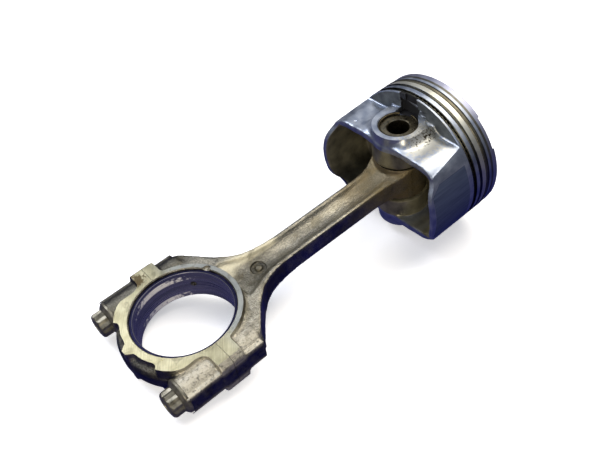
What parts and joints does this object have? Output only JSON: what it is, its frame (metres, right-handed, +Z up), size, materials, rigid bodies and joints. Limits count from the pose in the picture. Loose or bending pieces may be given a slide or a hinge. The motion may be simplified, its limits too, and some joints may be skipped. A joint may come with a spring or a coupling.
{
  "type": "piston and connecting rod",
  "caption": "Engine piston on a forged connecting rod with a bolted bearing cap, lying on its side, with rings, wrist pin and bearing shells.",
  "frame": {"origin": "centre of the crankshaft bore in the big end, at the middle of the rod's width", "axes": "+X towards the piston along the bench, +Y across the rod, +Z up from the bench. The rod climbs 9.48 degrees from +X towards +Z because the piston is wider than the big end, and both bores lean back from +Z by the same angle."},
  "size_m": [0.2103, 0.082, 0.0836],
  "materials": {
    "rod_forging": "forged steel, shot-peened, warm grey with a film of oil varnish",
    "cap_forging": "forged steel with ground faces",
    "bolt_steel": "phosphate-dark alloy steel",
    "bearing_alloy": "polished bearing alloy on steel",
    "bush_bronze": "worn bronze",
    "pin_steel": "hardened steel with brown oil varnish",
    "spring_steel": "dark spring steel",
    "piston_alloy": "cast aluminium, silver blue, oil stained",
    "ring_iron": "ring steel with a worn bright face",
    "expander_steel": "dark spring steel"
  },
  "bodies": {
    "rod": {"connecting_rod": "rod_forging", "rod_cap": "cap_forging", "rod_bolt_near": "bolt_steel", "rod_bolt_far": "bolt_steel", "rod_bearing_shell": "bearing_alloy", "cap_bearing_shell": "bearing_alloy", "small_end_bush": "bush_bronze"},
    "piston": {"piston_body": "piston_alloy", "circlip_upper": "spring_steel", "circlip_lower": "spring_steel"},
    "pin": {"wrist_pin": "pin_steel"},
    "ring_top": {"top_ring": "ring_iron"},
    "ring_second": {"second_ring": "ring_iron"},
    "ring_oil": {"oil_rail_upper": "ring_iron", "oil_expander": "expander_steel", "oil_rail_lower": "ring_iron"}
  },
  "joints": [
    {"name": "piston_swing", "type": "hinge", "parent": "rod", "child": "piston", "pos_m": [0.14006, 0, 0.02338], "axis": [-0.1647, 0, 0.9864], "range_deg": [-48, 48]},
    {"name": "pin_turn", "type": "hinge", "parent": "piston", "child": "pin", "pos_m": [0.14006, 0, 0.02338], "axis": [-0.1647, 0, 0.9864], "continuous": true},
    {"name": "top_ring_turn", "type": "hinge", "parent": "piston", "child": "ring_top", "pos_m": [0.14006, 0, 0.02338], "axis": [0.9864, 0, 0.1647], "continuous": true},
    {"name": "second_ring_turn", "type": "hinge", "parent": "piston", "child": "ring_second", "pos_m": [0.14006, 0, 0.02338], "axis": [0.9864, 0, 0.1647], "continuous": true},
    {"name": "oil_ring_turn", "type": "hinge", "parent": "piston", "child": "ring_oil", "pos_m": [0.14006, 0, 0.02338], "axis": [0.9864, 0, 0.1647], "continuous": true}
  ]
}
